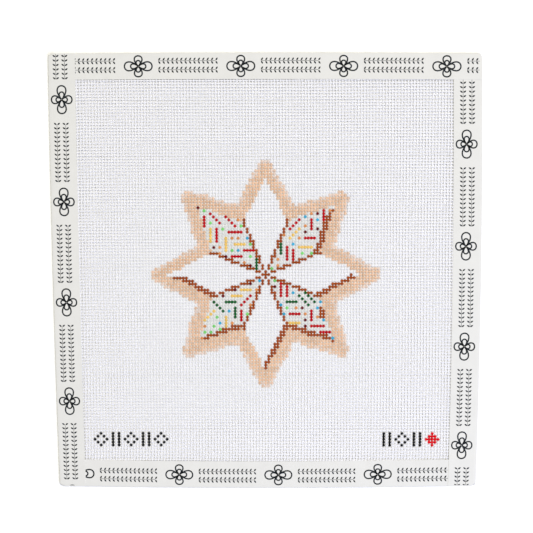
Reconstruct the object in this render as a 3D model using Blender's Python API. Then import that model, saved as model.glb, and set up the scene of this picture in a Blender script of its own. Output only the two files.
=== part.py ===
"""A square of open needlepoint canvas, bound on its four raw edges with folded tape.

The canvas lies flat with its painted side up. +X runs to the right across the design,
+Y to its top, and +Z up. The origin is on the table, below the middle of the canvas.
Each tape is one strip folded round an edge, a flap above and a flap below. They were put
on in the order bottom, right, top, left, so each later one crosses over the one before.
"""

from math import cos, pi, sin

import bmesh
import bpy

WIDTH = 0.1980
HEIGHT = 0.2023
CANVAS_THICKNESS = 0.0005
TAPE_THICKNESS = 0.0002
GAP = 0.00025

# How far each tape's flaps reach in from its edge.
BOTTOM_FLAP = 0.0129
RIGHT_FLAP = 0.0131
TOP_FLAP = 0.0120
LEFT_FLAP = 0.0125

# The edges bow out a little, as the tape was folded over by hand. These are the insets
# from the rectangle of WIDTH by HEIGHT at an edge's start, middle and end, along +X or +Y.
BOTTOM_INSETS = (0.0008, 0.0, 0.0012)
RIGHT_INSETS = (0.0011, 0.0, 0.0010)
TOP_INSETS = (0.00005, 0.00015, 0.00095)
LEFT_INSETS = (0.0011, 0.00015, 0.00005)

# Half the height of a tape's own mid surface round its fold: on the bare canvas, and
# at an end where the tape crosses over another one.
HALF_FOLD = CANVAS_THICKNESS / 2 + GAP + TAPE_THICKNESS / 2
HALF_FOLD_CROSSING = HALF_FOLD + TAPE_THICKNESS + GAP

# The mid plane of the canvas. The part rests on its corners, where tapes cross.
MID_PLANE = HALF_FOLD_CROSSING + TAPE_THICKNESS / 2

STEP_LENGTH = 0.0030
FLAP_SEGMENTS = 3
FOLD_SEGMENTS = 6
LONG_SEGMENTS = 16
CANVAS_SEGMENTS = 20


def smooth_step(t):
    """0 before t = 0 and 1 after t = 1, with a level start and end."""
    t = min(max(t, 0.0), 1.0)
    return t * t * (3 - 2 * t)


def inset_at(insets, t):
    """The inset on the bow through an edge's start, middle and end, at t = -1, 0 and 1."""
    start, middle, end = insets
    return middle + (end - start) / 2 * t + ((start + end) / 2 - middle) * t * t


def bottom_edge(x):
    """Where the bottom edge lies at this place across the design."""
    return inset_at(BOTTOM_INSETS, 2 * x / WIDTH) - HEIGHT / 2


def right_edge(y):
    """Where the right edge lies at this height up the design."""
    return WIDTH / 2 - inset_at(RIGHT_INSETS, 2 * y / HEIGHT)


def top_edge(x):
    """Where the top edge lies at this place across the design."""
    return HEIGHT / 2 - inset_at(TOP_INSETS, 2 * x / WIDTH)


def left_edge(y):
    """Where the left edge lies at this height up the design."""
    return inset_at(LEFT_INSETS, 2 * y / HEIGHT) - WIDTH / 2


def material(name, colour, roughness):
    """A plain finish."""
    made = bpy.data.materials.new(name)
    made.use_nodes = True
    shader = made.node_tree.nodes["Principled BSDF"]
    shader.inputs["Base Color"].default_value = (*colour, 1)
    shader.inputs["Roughness"].default_value = roughness
    shader.inputs["Metallic"].default_value = 0
    return made


def add_object(name, bm, finish, smooth):
    """One object made from a bmesh whose faces are turned outwards."""
    bmesh.ops.recalc_face_normals(bm, faces=bm.faces)
    mesh = bpy.data.meshes.new(name)
    bm.to_mesh(mesh)
    bm.free()
    mesh.materials.append(finish)
    if smooth:
        mesh.shade_smooth()
        mesh.set_sharp_from_angle(angle=pi / 4)
    made = bpy.data.objects.new(name, mesh)
    bpy.context.scene.collection.objects.link(made)
    return made


def make_canvas(finish):
    """The woven ground as one thin slab that ends at the centre line of the tapes' folds."""
    inset = TAPE_THICKNESS / 2 + HALF_FOLD
    bm = bmesh.new()
    bmesh.ops.create_grid(bm, x_segments=CANVAS_SEGMENTS, y_segments=CANVAS_SEGMENTS, size=0.5)
    for vert in bm.verts:
        across = vert.co.x + 0.5
        up = vert.co.y + 0.5
        y = (up - 0.5) * HEIGHT
        left = left_edge(y) + inset
        right = right_edge(y) - inset
        x = left + (right - left) * across
        bottom = bottom_edge(x) + inset
        top = top_edge(x) - inset
        vert.co = (x, bottom + (top - bottom) * up, 0)
    lower = bm.faces[:]
    extruded = bmesh.ops.extrude_face_region(bm, geom=lower, use_keep_orig=True)
    upper = [item for item in extruded["geom"] if isinstance(item, bmesh.types.BMVert)]
    bmesh.ops.translate(bm, verts=upper, vec=(0, 0, CANVAS_THICKNESS))
    for vert in bm.verts:
        vert.co.z += MID_PLANE - CANVAS_THICKNESS / 2
    return add_object("canvas", bm, finish, smooth=False)


def fold_points(half_fold, flap):
    """The tape's mid surface across its width, as (inset from the edge, height) pairs.

    It runs from the upper flap's edge round the fold to the lower flap's edge.
    """
    centre = TAPE_THICKNESS / 2 + half_fold
    points = []
    for step in range(FLAP_SEGMENTS):
        share = step / FLAP_SEGMENTS
        points.append((flap + (centre - flap) * share, half_fold))
    for step in range(FOLD_SEGMENTS + 1):
        turn = pi * step / FOLD_SEGMENTS
        points.append((centre - half_fold * sin(turn), half_fold * cos(turn)))
    for step in range(1, FLAP_SEGMENTS + 1):
        share = step / FLAP_SEGMENTS
        points.append((centre + (flap - centre) * share, -half_fold))
    return points


def stations(start, end, reach):
    """Places along a tape: close together on the steps near its ends, wide between."""
    near = [0, reach * 0.5, reach, reach + STEP_LENGTH * 0.5, reach + STEP_LENGTH]
    first = [start + place for place in near]
    last = [end - place for place in reversed(near)]
    middle = []
    for step in range(1, LONG_SEGMENTS):
        middle.append(first[-1] + (last[0] - first[-1]) * step / LONG_SEGMENTS)
    return first + middle + last


def half_fold_at(place, start, end, crossed_start, crossed_end):
    """Half the fold's height, larger over the flap of another tape."""
    height = HALF_FOLD
    for crossed, distance in ((crossed_start, place - start), (crossed_end, end - place)):
        if crossed:
            share = 1 - smooth_step((distance - crossed - GAP) / (STEP_LENGTH - GAP))
            height = max(height, HALF_FOLD + (HALF_FOLD_CROSSING - HALF_FOLD) * share)
    return height


def make_tape(name, point, flap, ends, crossed, finish):
    """One folded tape, from a grid laid round the fold and given its thickness.

    point(place, inwards) is on the sheet, inwards from the tape's edge. crossed holds,
    for each end, the flap of the tape that it crosses over, or None for an end that lies
    inside another tape's fold.
    """
    inset = TAPE_THICKNESS / 2 + HALF_FOLD_CROSSING
    start = ends[0] + (0 if crossed[0] else inset)
    end = ends[1] - (0 if crossed[1] else inset)
    places = stations(start, end, max(width for width in (*crossed, TOP_FLAP) if width))
    across = len(fold_points(HALF_FOLD, TOP_FLAP))
    bm = bmesh.new()
    bmesh.ops.create_grid(bm, x_segments=across - 1, y_segments=len(places) - 1, size=0.5)
    for vert in bm.verts:
        column = round((vert.co.x + 0.5) * (across - 1))
        row = round((vert.co.y + 0.5) * (len(places) - 1))
        place = places[row]
        half_fold = half_fold_at(place, start, end, *crossed)
        inwards, height = fold_points(half_fold, flap)[column]
        x, y = point(place, inwards)
        vert.co = (x, y, MID_PLANE + height)
    made = add_object(name, bm, finish, smooth=True)
    wall = made.modifiers.new("thickness", "SOLIDIFY")
    wall.thickness = TAPE_THICKNESS
    wall.offset = 0
    wall.use_even_offset = True
    return made


def main():
    for old in list(bpy.data.objects):
        bpy.data.objects.remove(old, do_unlink=True)

    canvas_finish = material("sized cotton canvas", (0.80, 0.80, 0.80), 0.85)
    tape_finish = material("binding tape", (0.79, 0.78, 0.74), 0.75)

    right = WIDTH / 2
    top = HEIGHT / 2
    make_canvas(canvas_finish)
    make_tape(
        "tape_bottom",
        lambda x, inwards: (x, bottom_edge(x) + inwards),
        BOTTOM_FLAP,
        ends=(left_edge(-top), right_edge(-top)),
        crossed=(None, None),
        finish=tape_finish,
    )
    make_tape(
        "tape_right",
        lambda y, inwards: (right_edge(y) - inwards, y),
        RIGHT_FLAP,
        ends=(bottom_edge(right), top_edge(right)),
        crossed=(BOTTOM_FLAP, None),
        finish=tape_finish,
    )
    make_tape(
        "tape_top",
        lambda x, inwards: (x, top_edge(x) - inwards),
        TOP_FLAP,
        ends=(left_edge(top), right_edge(top)),
        crossed=(None, RIGHT_FLAP),
        finish=tape_finish,
    )
    make_tape(
        "tape_left",
        lambda y, inwards: (left_edge(y) + inwards, y),
        LEFT_FLAP,
        ends=(bottom_edge(-right), top_edge(-right)),
        crossed=(BOTTOM_FLAP, TOP_FLAP),
        finish=tape_finish,
    )


main()
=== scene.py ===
"""The looks of a square of needlepoint canvas with a painted star, bound in printed tape.

Everything is in metres in the part's own frame: +X to the right across the design, +Y to
its top and +Z up out of the painted side. The canvas lies on a pale table.
"""

from math import atan2, cos, hypot, pi, radians, sin

import bmesh
import bpy
import numpy as np
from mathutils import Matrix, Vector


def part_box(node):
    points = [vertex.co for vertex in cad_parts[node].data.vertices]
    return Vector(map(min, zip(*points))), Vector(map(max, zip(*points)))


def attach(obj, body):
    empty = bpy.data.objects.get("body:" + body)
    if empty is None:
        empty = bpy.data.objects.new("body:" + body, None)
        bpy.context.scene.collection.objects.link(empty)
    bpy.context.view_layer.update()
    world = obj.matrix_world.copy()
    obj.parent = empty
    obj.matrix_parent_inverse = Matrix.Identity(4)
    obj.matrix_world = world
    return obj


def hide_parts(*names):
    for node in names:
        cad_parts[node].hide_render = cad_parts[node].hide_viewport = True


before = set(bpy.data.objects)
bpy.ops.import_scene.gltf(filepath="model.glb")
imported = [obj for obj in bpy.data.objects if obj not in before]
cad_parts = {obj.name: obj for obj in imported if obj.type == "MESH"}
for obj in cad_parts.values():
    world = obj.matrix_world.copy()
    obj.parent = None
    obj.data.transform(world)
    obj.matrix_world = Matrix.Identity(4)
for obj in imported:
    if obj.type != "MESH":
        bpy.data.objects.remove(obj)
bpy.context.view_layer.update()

# The view: a short telephoto above the upper half of the canvas that leans towards its
# foot, so the top edge comes out a little longer than the bottom one.
CAMERA_PLACE = (0.00972, 0.05349, 0.51073)
CAMERA_TURN = (-5.598, 1.047, -0.220)
LENS_MM = 75
SENSOR_MM = 36

camera_data = bpy.data.cameras.new("camera")
camera_data.lens = LENS_MM
camera_data.sensor_width = SENSOR_MM
camera_data.clip_start = 0.01
camera = bpy.data.objects.new("camera", camera_data)
camera.location = CAMERA_PLACE
camera.rotation_euler = [radians(turn) for turn in CAMERA_TURN]
bpy.context.scene.collection.objects.link(camera)
bpy.context.scene.camera = camera


# The bound sheet: how its edges run and how it lies. The edges bow out a little, as the
# tape was folded over by hand. The stiff sheet rests on its four corners, where two tapes
# cross, and stands a little clear of the table between them.
WIDTH = -2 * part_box("tape_left")[0][0]
HEIGHT = 2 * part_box("tape_top")[1][1]
BOTTOM_INSETS = (0.0008, 0.0, 0.0012)
RIGHT_INSETS = (0.0011, 0.0, 0.0010)
TOP_INSETS = (0.00005, 0.00015, 0.00095)
LEFT_INSETS = (0.0011, 0.00015, 0.00005)
FLAP = 0.0130
TAPE_THICKNESS = 0.00012
THREAD_HALF_HEIGHT = 0.00015
CRIMP = 0.00015
HALF_GROUND = CRIMP + THREAD_HALF_HEIGHT
MIDDLE_HEIGHT = HALF_GROUND + 0.00002
CLEAR_OF_TABLE = 0.00024
HALF_FOLD = HALF_GROUND + 0.00001 + TAPE_THICKNESS / 2
TAPE_STEP = TAPE_THICKNESS + 0.00002
SETTLE_LENGTH = 0.008


def smooth_step(t):
    """0 before t = 0 and 1 after t = 1, with a level start and end."""
    t = np.clip(t, 0, 1)
    return t * t * (3 - 2 * t)


def near(distance):
    """1 within a tape's width of an edge, and 0 once the canvas has settled beyond it."""
    return 1 - smooth_step((distance - FLAP) / SETTLE_LENGTH)


def mid_height(x, y):
    """The height of the canvas's own mid plane above the table."""
    beside = near(WIDTH / 2 - np.abs(x))
    end = near(HEIGHT / 2 - np.abs(y))
    to_corner = np.minimum(np.abs(4 * x * y / (WIDTH * HEIGHT)), 1)
    clear = CLEAR_OF_TABLE * (1 - to_corner ** 4)
    return MIDDLE_HEIGHT + TAPE_STEP * (np.maximum(beside, end) + beside * end) + clear


def inset_at(insets, t):
    """The inset on the bow through an edge's start, middle and end, at t = -1, 0 and 1."""
    start, middle, end = insets
    return middle + (end - start) / 2 * t + ((start + end) / 2 - middle) * t * t


def bottom_edge(x):
    """Where the bottom edge lies at this place across the design."""
    return inset_at(BOTTOM_INSETS, 2 * x / WIDTH) - HEIGHT / 2


def right_edge(y):
    """Where the right edge lies at this height up the design."""
    return WIDTH / 2 - inset_at(RIGHT_INSETS, 2 * y / HEIGHT)


def top_edge(x):
    """Where the top edge lies at this place across the design."""
    return HEIGHT / 2 - inset_at(TOP_INSETS, 2 * x / WIDTH)


def left_edge(y):
    """Where the left edge lies at this height up the design."""
    return inset_at(LEFT_INSETS, 2 * y / HEIGHT) - WIDTH / 2


# The painted design, one colour for each crossing of two threads, as canvas is painted by
# hand. An eight-pointed star has a baked edge, a browner line on its shaded sides and
# between its rays, and white and sprinkled rays in turn.
WARP_COUNT = 137
WEFT_COUNT = 140
STAR_WARP = 68
STAR_WEFT = 69
STAR_RAYS = 8
STAR_TIP = 40.6
STAR_NOTCH = 24.6
TIP_ROUNDING = 2.6
HAND_WOBBLE = 0.35
WAVES_ROUND = 13
WAVES_OUT = 0.4
EDGE_WIDTH = 4.2
SHADE_WIDTH = 1.7
SEAM_HALF_WIDTH = 0.55
BARE_MIDDLE = 2
SHADE_FROM = (0.55, -0.83)
SHADE_STARTS = 0.30
DASH_SHARE = 0.21
DOT_SHARE = 0.17


def linear(red, green, blue):
    """A colour given in the screen's 0 to 255, as the light that it reflects."""
    share = np.array((red, green, blue)) / 255
    return np.where(share <= 0.04045, share / 12.92, ((share + 0.055) / 1.055) ** 2.4)


WHITE_COTTON = linear(239, 238.3, 241.5)
PALE_ICING = linear(206, 208, 198)
TAN = linear(230, 194, 165)
RUST = linear(158, 74, 30)
RED = linear(190, 2, 22)
DARK_RED = linear(104, 2, 18)
DARK_GREEN = linear(14, 92, 42)
LEAF_GREEN = linear(124, 214, 114)
YELLOW = linear(238, 198, 106)
ORANGE = linear(222, 148, 88)
BLUE = linear(56, 172, 212)
BLACK = linear(12, 13, 15)
MARK_RED = linear(220, 14, 30)

design = np.tile(WHITE_COTTON, (WEFT_COUNT, WARP_COUNT, 1))
weft_number, warp_number = np.mgrid[0:WEFT_COUNT, 0:WARP_COUNT]

# Each crossing's place in the star: its nearest ray, and its angle off that ray's middle.
star_x = warp_number - STAR_WARP
star_y = weft_number - STAR_WEFT
star_radius = np.hypot(star_x, star_y)
star_angle = np.arctan2(star_y, star_x)
sector = 2 * pi / STAR_RAYS
ray_number = np.round(star_angle / sector).astype(int)
folded = np.abs(star_angle - ray_number * sector)

# The distance outside one side of a ray, which runs from its rounded tip to the notch
# beside it, with the small waver of a painted line.
side = STAR_NOTCH * np.array((cos(sector / 2), sin(sector / 2))) - np.array((STAR_TIP, 0))
side_normal = np.array((side[1], -side[0])) / hypot(*side)
off_side = (star_radius * np.cos(folded) - STAR_TIP) * side_normal[0]
off_side += star_radius * np.sin(folded) * side_normal[1]
from_tip_x = star_radius * np.cos(folded) - STAR_TIP + TIP_ROUNDING / side_normal[0]
from_tip_y = star_radius * np.sin(folded)
past_tip = from_tip_x * side[0] + from_tip_y * side[1] < 0
off_tip = np.hypot(from_tip_x, from_tip_y) - TIP_ROUNDING
outside = np.where(past_tip, off_tip, off_side)
outside += HAND_WOBBLE * np.sin(star_angle * WAVES_ROUND + 1) * np.cos(star_radius * WAVES_OUT)

slope_y, slope_x = np.gradient(outside)
shaded = slope_x * SHADE_FROM[0] + slope_y * SHADE_FROM[1] > SHADE_STARTS
icing = outside < -EDGE_WIDTH
shade_line = icing & (outside >= -EDGE_WIDTH - SHADE_WIDTH) & shaded
seam_line = icing & (star_radius * np.abs(folded - sector / 2) < SEAM_HALF_WIDTH)
design[(outside < 0) & ~icing] = TAN
design[shade_line | seam_line] = RUST

# Sprinkles lie in every second ray: dashes first, then dots in the room left over.
field = icing & (ray_number % 2 == 1) & (star_radius > BARE_MIDDLE) & ~shade_line & ~seam_line
sprinkled = np.zeros_like(field)
painter = np.random.default_rng(23)


def free(row, column):
    """True for a crossing in the field with no sprinkle on it or next to it."""
    return field[row, column] and not sprinkled[row - 1:row + 2, column - 1:column + 2].any()


def lay_sprinkles(shapes, colours, share):
    """Paints sprinkles until they cover this share of the field."""
    wanted = sprinkled.sum() + share * field.sum()
    for row, column in painter.permutation(np.argwhere(field)):
        step_row, step_column, length = shapes[painter.integers(len(shapes))]
        cells = [(row + step_row * n, column + step_column * n) for n in range(length)]
        if sprinkled.sum() < wanted and all(free(*cell) for cell in cells):
            colour = colours[painter.integers(len(colours))]
            for cell in cells:
                design[cell] = colour
                sprinkled[cell] = True


DASHES = ((0, 1, 5), (1, 0, 5), (0, 1, 4), (1, 0, 4), (1, 1, 4), (1, -1, 4))
design[field] = PALE_ICING
lay_sprinkles(DASHES, (RED, DARK_GREEN, YELLOW), DASH_SHARE)
lay_sprinkles(((0, 1, 1),), (DARK_RED, LEAF_GREEN, BLUE, ORANGE), DOT_SHARE)

# A small border at the foot on each side, five threads high: black lozenges with pairs of
# bars between them, and a filled red lozenge at the end.
FOOT_WEFT = 14
FOOT_HALF = 2
LOZENGE_WARPS = (13, 23, 33, 113)
BAR_WARPS = (17, 19, 27, 29, 107, 109, 117, 119)
RED_LOZENGE_WARP = 123

for warp in LOZENGE_WARPS:
    steps = np.abs(warp_number - warp) + np.abs(weft_number - FOOT_WEFT)
    design[steps == FOOT_HALF] = BLACK
for warp in BAR_WARPS:
    design[FOOT_WEFT - FOOT_HALF:FOOT_WEFT + FOOT_HALF + 1, warp] = BLACK
steps = np.abs(warp_number - RED_LOZENGE_WARP) + np.abs(weft_number - FOOT_WEFT)
design[steps <= FOOT_HALF] = MARK_RED


# The canvas: cotton threads, stiffened with size, in a plain weave of 18 to the inch.
# A straight blank of six sides is laid out once for each thread, and then each point is
# moved to where the weave carries it. Bands of rows keep each piece's mesh small.
PITCH = 0.0254 / 18
FIRST_WARP_X = -0.09619
FIRST_WEFT_Y = -0.09769
ROWS_PER_BAND = 18
THREAD_SIDES = 6
RINGS_PER_PITCH = 3
WARP_HALF_WIDTH = 0.000338
WEFT_HALF_WIDTH = 0.000350
SPREAD_AT_CROSSINGS = 0.12
PAINT_SWELL = 0.20
ICING_COVER = 0.4
RIM_WIDTH = 1.2
RIM_COVER = (0.55, 1)
UNDERSIDE_COVER = 0.12
PAINT_TONES = (0.88, 1.10)
WIDTH_VARIATION = 0.012
THREAD_OFFSET = 0.000006
THREAD_WANDER = 0.000009
SHEET_DRIFT = 0.00010
# Painted light and shade: the wefts are drawn a little lighter and the warps a little darker than
# the cotton itself. This stands for the way the light falls across the two sets of threads.
WARP_PAINTED_SHADE = 0.998
WEFT_PAINTED_LIGHT = 1.006
TONE_VARIATION = 0.005
PLIES = 3
TWISTS_PER_PITCH = 4.5
BLANK_SPACING = 4.0
WARP_SHELF = 10.0

weaver = np.random.default_rng(7)
weft_offset = weaver.normal(0, THREAD_OFFSET, WEFT_COUNT)
warp_offset = weaver.normal(0, THREAD_OFFSET, WARP_COUNT)
weft_phase = weaver.uniform(0, 2 * pi, WEFT_COUNT)
warp_phase = weaver.uniform(0, 2 * pi, WARP_COUNT)
weft_width = weaver.normal(1, WIDTH_VARIATION, WEFT_COUNT)
warp_width = weaver.normal(1, WIDTH_VARIATION, WARP_COUNT)
weft_tone_and_light = weaver.normal(WEFT_PAINTED_LIGHT, TONE_VARIATION, WEFT_COUNT)
warp_tone_and_shade = weaver.normal(WARP_PAINTED_SHADE, TONE_VARIATION, WARP_COUNT)
paint_tone = weaver.uniform(*PAINT_TONES, (WEFT_COUNT, WARP_COUNT))
cover = (design != WHITE_COTTON).any(axis=2).astype(float)
cover[(design == PALE_ICING).all(axis=2)] = ICING_COVER
thin_rim = (outside < 0) & (outside > -RIM_WIDTH)
cover[thin_rim] = weaver.uniform(*RIM_COVER, thin_rim.sum())


def straight_threads(count, pitches, shelf):
    """Straight tubes side by side, each with its length in pitches along X.

    They are set far apart for their width, so that a point's thread and its place on the
    thread's own circle can both be read from where it is.
    """
    bm = bmesh.new()
    bmesh.ops.create_cone(
        bm, cap_ends=True, cap_tris=False, segments=THREAD_SIDES, radius1=1, radius2=1, depth=1
    )
    long_edges = [e for e in bm.edges if abs(e.verts[0].co.z - e.verts[1].co.z) > 0.5]
    rings = round(pitches * RINGS_PER_PITCH)
    bmesh.ops.subdivide_edges(bm, edges=long_edges, cuts=rings - 1)
    for face in bm.faces:
        face.smooth = len(face.verts) == 4
    for vert in bm.verts:
        around = atan2(vert.co.y, vert.co.x) + pi / 2
        along = (vert.co.z + 0.5) * rings / RINGS_PER_PITCH
        vert.co = (along, cos(around), shelf + sin(around))
    bmesh.ops.recalc_face_normals(bm, faces=bm.faces)
    blank = bpy.data.meshes.new("blank thread")
    bm.to_mesh(blank)
    bm.free()
    holder = bpy.data.objects.new("blank thread", blank)
    bpy.context.scene.collection.objects.link(holder)
    rows = holder.modifiers.new("side by side", "ARRAY")
    rows.count = count
    rows.use_relative_offset = False
    rows.use_constant_offset = True
    rows.constant_offset_displace = (0, BLANK_SPACING, 0)
    rows.use_merge_vertices = False
    graph = bpy.context.evaluated_depsgraph_get()
    laid = bpy.data.meshes.new_from_object(holder.evaluated_get(graph))
    bpy.data.objects.remove(holder)
    bpy.data.meshes.remove(blank)
    return laid


def weave(mesh, first_row):
    """Moves the points of straight threads to the woven ground and paints them.

    It returns where each point is on its thread: the pitches along it and the turns round.
    """
    flat = np.empty(len(mesh.vertices) * 3, np.float32)
    mesh.vertices.foreach_get("co", flat)
    place = flat.reshape(-1, 3).astype(float)
    is_warp = place[:, 2] > WARP_SHELF / 2
    thread = np.round(place[:, 1] / BLANK_SPACING).astype(int)
    circle_across = place[:, 1] - thread * BLANK_SPACING
    circle_up = place[:, 2] - np.where(is_warp, WARP_SHELF, 0)

    # A blank starts one ring before its first crossing.
    along = place[:, 0] - 1 / RINGS_PER_PITCH
    nearest = np.round(along).astype(int)
    weft = np.clip(np.where(is_warp, nearest, thread) + first_row, 0, WEFT_COUNT - 1)
    warp = np.clip(np.where(is_warp, thread, nearest), 0, WARP_COUNT - 1)
    base_x = FIRST_WARP_X + PITCH * np.where(is_warp, warp, along)
    base_y = FIRST_WEFT_Y + PITCH * np.where(is_warp, along + first_row, weft)
    swing = np.cos(pi * (along - nearest))
    wide = 1 + SPREAD_AT_CROSSINGS * (2 * swing - 1)
    across = circle_across * np.where(is_warp, WARP_HALF_WIDTH, WEFT_HALF_WIDTH) * wide
    across *= np.where(is_warp, warp_width[warp], weft_width[weft])
    across *= 1 + PAINT_SWELL * cover[weft, warp]
    across += np.where(is_warp, warp_offset[warp], weft_offset[weft])

    # Each thread wanders in waves of 22 or 24 mm, and slow waves of 11 to 17 cm pull the whole
    # sheet a little out of true.
    phase = np.where(is_warp, warp_phase[warp] + base_y * 290, weft_phase[weft] + base_x * 260)
    across += THREAD_WANDER * np.sin(phase)
    x = base_x + np.where(is_warp, across, 0)
    y = base_y + np.where(is_warp, 0, across)
    x += SHEET_DRIFT * np.sin(base_y * 58 + 0.7) * np.sin(base_x * 37 + 2.1)
    y += SHEET_DRIFT * np.sin(base_x * 49 + 1.3) * np.cos(base_y * 41 + 0.4)
    on_top = np.where((warp + weft) % 2 == 0, 1, -1) * np.where(is_warp, -1, 1)
    z = mid_height(x, y) + CRIMP * on_top * swing + THREAD_HALF_HEIGHT * circle_up
    mesh.vertices.foreach_set("co", np.stack((x, y, z), 1).astype(np.float32).ravel())

    # The paint covers the top and sides of a thread and barely reaches its underside.
    painted = (cover[weft, warp] * np.clip(1 + circle_up, UNDERSIDE_COVER, 1))[:, None]
    # The bare colour holds each thread's own random tone and the painted light and shade of the
    # wefts against the warps.
    bare = WHITE_COTTON * np.where(is_warp, warp_tone_and_shade[warp], weft_tone_and_light[weft])[:, None]
    paint = design[weft, warp] * paint_tone[weft, warp][:, None]
    colour = np.clip(bare * (1 - painted) + paint * painted, 0, 1)
    colour = np.hstack((colour, np.ones((len(colour), 1))))
    stored = mesh.color_attributes.new("paint", "FLOAT_COLOR", "POINT")
    stored.data.foreach_set("color", colour.astype(np.float32).ravel())
    return np.stack((along, np.arctan2(circle_up, circle_across) / (2 * pi)), 1)


def map_threads(mesh, on_thread):
    """Two maps: a flat one of the sheet, front beside back, and one along each thread."""
    corner_vertex = np.empty(len(mesh.loops), np.int32)
    mesh.loops.foreach_get("vertex_index", corner_vertex)
    co = np.empty(len(mesh.vertices) * 3, np.float32)
    mesh.vertices.foreach_get("co", co)
    corner = co.reshape(-1, 3)[corner_vertex]
    normals = np.empty(len(mesh.polygons) * 3, np.float32)
    mesh.polygons.foreach_get("normal", normals)
    sizes = np.empty(len(mesh.polygons), np.int32)
    mesh.polygons.foreach_get("loop_total", sizes)
    faces_up = np.repeat(normals.reshape(-1, 3)[:, 2] > 0, sizes)
    low = corner.min(axis=0)
    share = (corner - low) / (corner.max(axis=0) - low)
    flat_map = np.stack((share[:, 0], share[:, 1] / 2 + np.where(faces_up, 0.5, 0)), 1)
    mesh.uv_layers.new(name="OFBake").uv.foreach_set("vector", flat_map.ravel())
    thread_map = on_thread[corner_vertex].astype(np.float32)
    mesh.uv_layers.new(name="thread").uv.foreach_set("vector", thread_map.ravel())


def node(tree, kind, inputs, **settings):
    """One shader node with its settings and, by socket name or number, its inputs."""
    made = tree.nodes.new(kind)
    for name, value in settings.items():
        setattr(made, name, value)
    for socket, value in inputs.items():
        if isinstance(value, bpy.types.NodeSocket):
            tree.links.new(value, made.inputs[socket])
        else:
            made.inputs[socket].default_value = value
    return made


def new_finish(name, roughness, specular):
    """A material, its tree and its Principled node."""
    made = bpy.data.materials.new(name)
    made.use_nodes = True
    shader = made.node_tree.nodes["Principled BSDF"]
    shader.inputs["Roughness"].default_value = roughness
    shader.inputs["Specular IOR Level"].default_value = specular
    return made, made.node_tree, shader


def mottled(tree, colour, coords, scale, low, high):
    """A colour made a little lighter and darker in patches of this scale."""
    patches = node(tree, "ShaderNodeTexNoise", {"Vector": coords, "Scale": scale, "Detail": 3.0})
    tone = node(
        tree, "ShaderNodeMapRange",
        {"Value": patches.outputs["Fac"], "From Min": 0.3, "From Max": 0.7,
         "To Min": low, "To Max": high},
    )
    shade = node(
        tree, "ShaderNodeVectorMath", {0: colour, "Scale": tone.outputs["Result"]},
        operation="SCALE",
    )
    return shade.outputs["Vector"], patches.outputs["Fac"]


def cotton_threads():
    """Sized cotton with the painter's colours on it, and the twist of its plies."""
    made, tree, shader = new_finish("painted cotton thread", roughness=0.75, specular=0.10)
    coords = node(tree, "ShaderNodeTexCoord", {})
    paint = node(tree, "ShaderNodeAttribute", {}, attribute_name="paint")
    colour, fibres = mottled(
        tree, paint.outputs["Color"], coords.outputs["Object"], scale=2600.0, low=0.95, high=1.04
    )
    tree.links.new(colour, shader.inputs["Base Color"])
    place = node(tree, "ShaderNodeUVMap", {}, uv_map="thread")
    parts = node(tree, "ShaderNodeSeparateXYZ", {0: place.outputs["UV"]})
    turns = node(
        tree, "ShaderNodeMath", {0: parts.outputs["Y"], 1: PLIES * 2 * pi},
        operation="MULTIPLY",
    )
    twist = node(
        tree, "ShaderNodeMath",
        {0: parts.outputs["X"], 1: TWISTS_PER_PITCH * 2 * pi, 2: turns.outputs["Value"]},
        operation="MULTIPLY_ADD",
    )
    plies = node(tree, "ShaderNodeMath", {0: twist.outputs["Value"]}, operation="SINE")
    relief = node(
        tree, "ShaderNodeMath", {0: plies.outputs["Value"], 1: 0.5, 2: fibres},
        operation="MULTIPLY_ADD",
    )
    bump = node(
        tree, "ShaderNodeBump",
        {"Height": relief.outputs["Value"], "Strength": 0.35, "Distance": 0.00005},
    )
    tree.links.new(bump.outputs["Normal"], shader.inputs["Normal"])
    return made


thread_finish = cotton_threads()
for number, first_row in enumerate(range(0, WEFT_COUNT, ROWS_PER_BAND)):
    rows = min(ROWS_PER_BAND, WEFT_COUNT - first_row)
    missing = 1 / RINGS_PER_PITCH if first_row + rows == WEFT_COUNT else 0
    wefts = straight_threads(rows, WARP_COUNT - 1 + 2 / RINGS_PER_PITCH, 0)
    warps = straight_threads(WARP_COUNT, rows - missing, WARP_SHELF)
    both = bmesh.new()
    both.from_mesh(wefts)
    both.from_mesh(warps)
    mesh = bpy.data.meshes.new(f"canvas_ground_{number + 1}")
    both.to_mesh(mesh)
    both.free()
    bpy.data.meshes.remove(wefts)
    bpy.data.meshes.remove(warps)
    map_threads(mesh, weave(mesh, first_row))
    mesh.materials.append(thread_finish)
    ground = bpy.data.objects.new(mesh.name, mesh)
    bpy.context.scene.collection.objects.link(ground)
    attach(ground, "root")
    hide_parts("canvas")


# The binding: off-white woven tape, an inch wide, pressed in half over each raw edge and
# glued down. The strips went on bottom, right, top, left, each over the end of the last.
FLAPS = {"bottom": 0.0129, "right": 0.0131, "top": 0.0120, "left": 0.0125}
STEP_LENGTH = 0.0020
HIDDEN_END = TAPE_THICKNESS / 2 + HALF_FOLD + TAPE_STEP
CORNER_TRIM = 0.0030
TRIM_PARTS = 30
EDGE_LIFT = {"bottom": -0.00012, "right": -0.00012, "top": 0.00020, "left": -0.00008}
LIFT_REACH = 0.0035
LIFT_LENGTH = 0.0060
TAPE_COLUMNS = 28
TAPE_ROWS = 300
FOLD_SHARE = 0.30
CUT_SHARE = 0.93
LAST_COLUMN = 0.99
CUT_ROUNDING = 0.00004
RIB_SPACING = (("X", 0.00034), ("Y", 0.00044))

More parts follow.
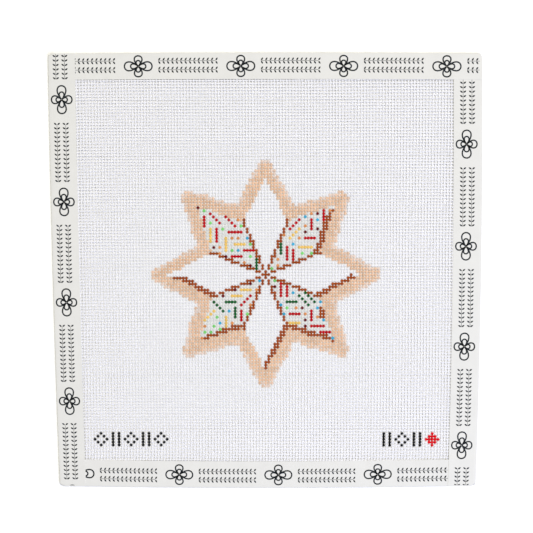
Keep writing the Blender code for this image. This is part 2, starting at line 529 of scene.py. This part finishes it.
# Each tape's start and end, and the flap that it crosses there, or 0 where its end lies
# inside the fold of another tape.
TAPES = {
    "bottom": (left_edge(-HEIGHT / 2), right_edge(-HEIGHT / 2), 0, 0),
    "right": (bottom_edge(WIDTH / 2), top_edge(WIDTH / 2), FLAPS["bottom"], 0),
    "top": (left_edge(HEIGHT / 2), right_edge(HEIGHT / 2), 0, FLAPS["right"]),
    "left": (bottom_edge(-WIDTH / 2), top_edge(-WIDTH / 2), FLAPS["bottom"], FLAPS["top"]),
}


def half_fold(side, along):
    """Half the height of the tape's fold, larger over another tape."""
    start, end, crossed_at_start, crossed_at_end = TAPES[side]
    over = np.zeros_like(along)
    for crossed, distance in ((crossed_at_start, along - start), (crossed_at_end, end - along)):
        if crossed:
            over = np.maximum(over, 1 - smooth_step((distance - crossed) / STEP_LENGTH))
    return HALF_FOLD + TAPE_STEP * over


def on_tape(side, along, from_fold, above):
    """The place on a tape at this distance from the fold's outermost line.

    from_fold is measured along the cloth, positive on the upper flap and negative on the
    lower one, and above is the distance out from the cloth's own mid surface.
    """
    start, end = TAPES[side][:2]
    radius = half_fold(side, along)
    turn = np.clip(from_fold / radius, -pi / 2, pi / 2)
    past = np.maximum(np.abs(from_fold) - radius * pi / 2, 0)
    reach = radius + above
    inwards = TAPE_THICKNESS / 2 + radius - reach * np.cos(turn) + past

    # The cut edge lies a little high or low, in waves of 13 and 6 mm.
    from_end = np.minimum(along - start, end - along)
    free_length = smooth_step((from_end - FLAP) / LIFT_LENGTH)
    waves = 0.5 + 0.3 * np.sin(along * 480 + len(side))
    waves += 0.2 * np.sin(along * 1130 + 2 * len(side))
    near_edge = smooth_step((inwards - FLAPS[side]) / LIFT_REACH + 1)
    raised = np.where(from_fold > 0, EDGE_LIFT[side] * waves * free_length * near_edge, 0)
    x, y = {
        "bottom": (along, bottom_edge(along) + inwards),
        "right": (right_edge(along) - inwards, along),
        "top": (along, top_edge(along) - inwards),
        "left": (left_edge(along) + inwards, along),
    }[side]
    return x, y, mid_height(x, y) + reach * np.sin(turn) + raised


def woven_tape():
    """Off-white cotton tape with its fine weave."""
    made, tree, shader = new_finish("off-white tape", roughness=0.8, specular=0.2)
    coords = node(tree, "ShaderNodeTexCoord", {})
    base = node(tree, "ShaderNodeRGB", {})
    base.outputs["Color"].default_value = (*linear(221.5, 220.5, 216.5), 1)
    colour, _ = mottled(
        tree, base.outputs["Color"], coords.outputs["Object"], scale=160.0, low=0.985, high=1.015
    )
    tree.links.new(colour, shader.inputs["Base Color"])
    place = node(tree, "ShaderNodeUVMap", {}, uv_map="tape")
    parts = node(tree, "ShaderNodeSeparateXYZ", {0: place.outputs["UV"]})
    ribs = [
        node(
            tree, "ShaderNodeMath",
            {0: node(tree, "ShaderNodeMath", {0: parts.outputs[axis], 1: 2 * pi / spacing},
                     operation="MULTIPLY").outputs["Value"]},
            operation="SINE",
        )
        for axis, spacing in RIB_SPACING
    ]
    weave_height = node(
        tree, "ShaderNodeMath", {0: ribs[0].outputs["Value"], 1: ribs[1].outputs["Value"]},
        operation="MULTIPLY",
    )
    bump = node(
        tree, "ShaderNodeBump",
        {"Height": weave_height.outputs["Value"], "Strength": 0.4, "Distance": 0.00003},
    )
    tree.links.new(bump.outputs["Normal"], shader.inputs["Normal"])
    return made


tape_finish = woven_tape()
for side, (start, end, crossed_at_start, crossed_at_end) in TAPES.items():
    mesh = bpy.data.meshes.new(f"binding_{side}")
    bm = bmesh.new()
    bmesh.ops.create_grid(bm, x_segments=TAPE_ROWS, y_segments=TAPE_COLUMNS, size=1)
    share = np.array([vert.co[:2] for vert in bm.verts])
    low = start + (0 if crossed_at_start else HIDDEN_END)
    high = end - (0 if crossed_at_end else HIDDEN_END)
    along = np.interp(
        share[:, 0], (-1, 2 / TAPE_ROWS - 1, 1 - 2 / TAPE_ROWS, 1),
        (low, low + CUT_ROUNDING, high - CUT_ROUNDING, high),
    )

    # Columns are close together round the fold, and the last one is the cut edge. The one
    # before it stands near it, which keeps the edge's shading narrow.
    quarter = half_fold(side, along) * pi / 2
    cut = FLAPS[side] - TAPE_THICKNESS / 2 - half_fold(side, along) + quarter
    column = np.abs(share[:, 1])
    to_cut = np.clip((column - FOLD_SHARE) / (CUT_SHARE - FOLD_SHARE), 0, 1)
    on_flap = quarter + (cut - CUT_ROUNDING - quarter) * to_cut
    on_flap = np.where(column > LAST_COLUMN, cut, on_flap)
    from_fold = np.where(column < FOLD_SHARE, quarter * column / FOLD_SHARE, on_flap)
    from_fold *= np.sign(share[:, 1])

    # The corners are rounded off, which fades out a few millimetres along the tape.
    near_fold = np.clip(1 - np.abs(from_fold) / CORNER_TRIM, 0, 1)
    trim = CORNER_TRIM * (1 - np.sqrt(1 - near_fold ** 2))
    near_start = np.clip(-share[:, 0] * TRIM_PARTS - (TRIM_PARTS - 1), 0, 1)
    near_end = np.clip(share[:, 0] * TRIM_PARTS - (TRIM_PARTS - 1), 0, 1)
    along += trim * near_start - trim * near_end
    places = np.stack(on_tape(side, along, from_fold, 0), 1)
    for vert, place in zip(bm.verts, places):
        vert.co = place
    tape_map = bm.loops.layers.uv.new("tape")
    for face in bm.faces:
        face.smooth = True
        for loop in face.loops:
            loop[tape_map].uv = (along[loop.vert.index], from_fold[loop.vert.index])
    bm.to_mesh(mesh)
    bm.free()
    mesh.materials.append(tape_finish)
    tape = bpy.data.objects.new(mesh.name, mesh)
    bpy.context.scene.collection.objects.link(tape)
    wall = tape.modifiers.new("thickness", "SOLIDIFY")
    wall.thickness = TAPE_THICKNESS
    wall.offset = 0
    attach(tape, "root")
    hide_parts(f"tape_{side}")


# The print: dark ink on the upper flap of each tape. Two rows of leafy sprigs and a flower
# of four loops come in turn, and other tapes hide the ends of a run. The right tape was
# folded off its middle, so its print lies further in.
REPEAT = 0.0466
REPEATS = 6
SPRIG_ROWS = (0.0037, 0.0077)
SPRIG_LENGTH = 0.0280
LEAF_STEP = 0.0020
LEAF_LENGTH = 0.00160
LEAF_HALF_WIDTH = 0.00040
LEAF_LEAN = radians(55)
LEAF_FROM_STEM = (0.0001, 0.00015)
STEM_WIDTH = 0.00018
FLOWER_FROM_SPRIG = 0.0095
FLOWER_MIDDLE = 0.0061
FLOWER_LEAVES = 0.0008
LOOPS = ((0, 0.0063, 0.0026), (90, 0.0047, 0.0023), (180, 0.0063, 0.0026), (270, 0.0047, 0.0023))
LOOP_SCALES = (1, 0.55)
LOOP_STROKE = 0.00066
LOOP_POINTS = 22
LOOP_OPENING = 0.35
INK_THICKNESS = 0.00003
FIRST_SPRIG = {"bottom": -0.1253, "right": -0.1180, "top": -0.1418, "left": -0.1437}
PRINT_SHIFT = {"bottom": 0.0002, "right": 0.0011, "top": 0.0, "left": 0.0}


def add_stroke(bm, line, width):
    """A flat ribbon of ink along a line of points."""
    line = np.array(line)
    heading = np.gradient(line, axis=0)
    heading /= np.hypot(*heading.T)[:, None]
    offset = np.stack((-heading[:, 1], heading[:, 0]), 1) * width / 2
    left = [bm.verts.new((*point, 0)) for point in line + offset]
    right = [bm.verts.new((*point, 0)) for point in line - offset]
    for n in range(len(line) - 1):
        bm.faces.new((right[n], right[n + 1], left[n + 1], left[n]))


def add_leaf(bm, root, lean):
    """A pointed leaf that grows from its root."""
    outline = ((0, 0), (0.25, -0.8), (0.6, -0.9), (1, 0), (0.6, 0.9), (0.25, 0.8))
    corners = []
    for length, width in outline:
        length *= LEAF_LENGTH
        width *= LEAF_HALF_WIDTH
        u = root[0] + length * cos(lean) - width * sin(lean)
        v = root[1] + length * sin(lean) + width * cos(lean)
        corners.append(bm.verts.new((u, v, 0)))
    bm.faces.new(corners)


def add_repeat(bm, first):
    """One run of the print: two sprigs side by side, and then a flower."""
    for row in SPRIG_ROWS:
        places = np.arange(0, SPRIG_LENGTH, LEAF_STEP) + first
        add_stroke(bm, [(place, row) for place in places], STEM_WIDTH)
        for place in places:
            add_leaf(bm, (place + LEAF_FROM_STEM[0], row + LEAF_FROM_STEM[1]), LEAF_LEAN)
            add_leaf(bm, (place + LEAF_FROM_STEM[0], row - LEAF_FROM_STEM[1]), -LEAF_LEAN)
    middle = (first + SPRIG_LENGTH + FLOWER_FROM_SPRIG, FLOWER_MIDDLE)
    for turn, length, half_width in LOOPS:
        t = np.linspace(LOOP_OPENING, 2 * pi - LOOP_OPENING, LOOP_POINTS)
        heading = radians(turn)
        for scale in LOOP_SCALES:
            out = scale * length * (1 - np.cos(t)) / 2
            sideways = scale * half_width * np.sin(t) * np.sin(t / 2)
            u = middle[0] + out * cos(heading) - sideways * sin(heading)
            v = middle[1] + out * sin(heading) + sideways * cos(heading)
            add_stroke(bm, np.stack((u, v), 1), LOOP_STROKE)
        lean = heading + pi / 4
        root = (middle[0] + FLOWER_LEAVES * cos(lean), middle[1] + FLOWER_LEAVES * sin(lean))
        add_leaf(bm, root, lean)


def printed_ink():
    """Dark slate ink, a little uneven where it sank into the weave."""
    made, tree, shader = new_finish("printed ink", roughness=0.7, specular=0.2)
    coords = node(tree, "ShaderNodeTexCoord", {})
    base = node(tree, "ShaderNodeRGB", {})
    base.outputs["Color"].default_value = (*linear(30, 36, 40), 1)
    colour, _ = mottled(
        tree, base.outputs["Color"], coords.outputs["Object"], scale=900.0, low=0.75, high=1.35
    )
    tree.links.new(colour, shader.inputs["Base Color"])
    return made


ink_finish = printed_ink()

# How much of the print is hidden at each end of a tape, by another tape or in the corner.
HIDDEN_BY = {
    "bottom": (FLAPS["left"], FLAPS["right"]),
    "right": (0.0004, FLAPS["top"]),
    "top": (FLAPS["left"], 0.0012),
    "left": (0.0004, 0.0004),
}
for side in TAPES:
    start, end = TAPES[side][:2]
    bm = bmesh.new()
    for n in range(REPEATS):
        add_repeat(bm, FIRST_SPRIG[side] + n * REPEAT)
    for limit, outward in ((start + HIDDEN_BY[side][0], -1), (end - HIDDEN_BY[side][1], 1)):
        bmesh.ops.bisect_plane(
            bm, geom=bm.verts[:] + bm.edges[:] + bm.faces[:], plane_co=(limit, 0, 0),
            plane_no=(outward, 0, 0), clear_outer=True,
        )
    flat_place = np.array([vert.co[:2] for vert in bm.verts])
    radius = half_fold(side, flat_place[:, 0])
    from_fold = flat_place[:, 1] + PRINT_SHIFT[side] - TAPE_THICKNESS / 2 - radius + radius * pi / 2

    # A quarter of the ink's thickness is sunk into the cloth.
    above = TAPE_THICKNESS / 2 + INK_THICKNESS / 4
    places = np.stack(on_tape(side, flat_place[:, 0], from_fold, above), 1)
    for vert, place in zip(bm.verts, places):
        vert.co = place
    bm.normal_update()
    downward = [face for face in bm.faces if face.normal.z < 0]
    bmesh.ops.reverse_faces(bm, faces=downward)
    mesh = bpy.data.meshes.new(f"print_{side}")
    bm.to_mesh(mesh)
    bm.free()
    mesh.materials.append(ink_finish)
    ink = bpy.data.objects.new(mesh.name, mesh)
    bpy.context.scene.collection.objects.link(ink)
    wall = ink.modifiers.new("thickness", "SOLIDIFY")
    wall.thickness = INK_THICKNESS
    wall.offset = 0
    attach(ink, "root")


# The table top, plain and pale.
TABLE_HALF_WIDTH = 1.5

floor_mesh = bpy.data.meshes.new("table")
bm = bmesh.new()
bmesh.ops.create_grid(bm, x_segments=1, y_segments=1, size=TABLE_HALF_WIDTH)
bm.to_mesh(floor_mesh)
bm.free()
table = bpy.data.objects.new("table", floor_mesh)
bpy.context.scene.collection.objects.link(table)
table_finish, tree, shader = new_finish("pale table", roughness=0.9, specular=0.2)
shader.inputs["Base Color"].default_value = (0.98, 0.98, 0.98, 1)
floor_mesh.materials.append(table_finish)

# The light: a large soft panel high overhead towards the top, a smaller, cooler window
# near the lower right corner and a pale, warm room all round.


def add_panel(name, place, size, watts, colour):
    """A soft square light that faces the middle of the canvas."""
    panel_data = bpy.data.lights.new(name, "AREA")
    panel_data.shape = "SQUARE"
    panel_data.size = size
    panel_data.energy = watts
    panel_data.color = colour
    panel = bpy.data.objects.new(name, panel_data)
    panel.location = place
    panel.rotation_euler = (-panel.location).to_track_quat("-Z", "Y").to_euler()
    bpy.context.scene.collection.objects.link(panel)


add_panel("ceiling light", (0.28, 0.75, 2.10), size=1.6, watts=44.3, colour=(1.0, 0.98, 0.90))
add_panel("window", (0.42, -0.47, 0.60), size=0.6, watts=4.2, colour=(0.61, 0.68, 1.0))

world = bpy.data.worlds.new("room")
world.use_nodes = True
world.node_tree.nodes["Background"].inputs["Color"].default_value = (1.0, 0.97, 0.84, 1)
world.node_tree.nodes["Background"].inputs["Strength"].default_value = 0.24
bpy.context.scene.world = world
bpy.context.scene.view_settings.view_transform = "Standard"
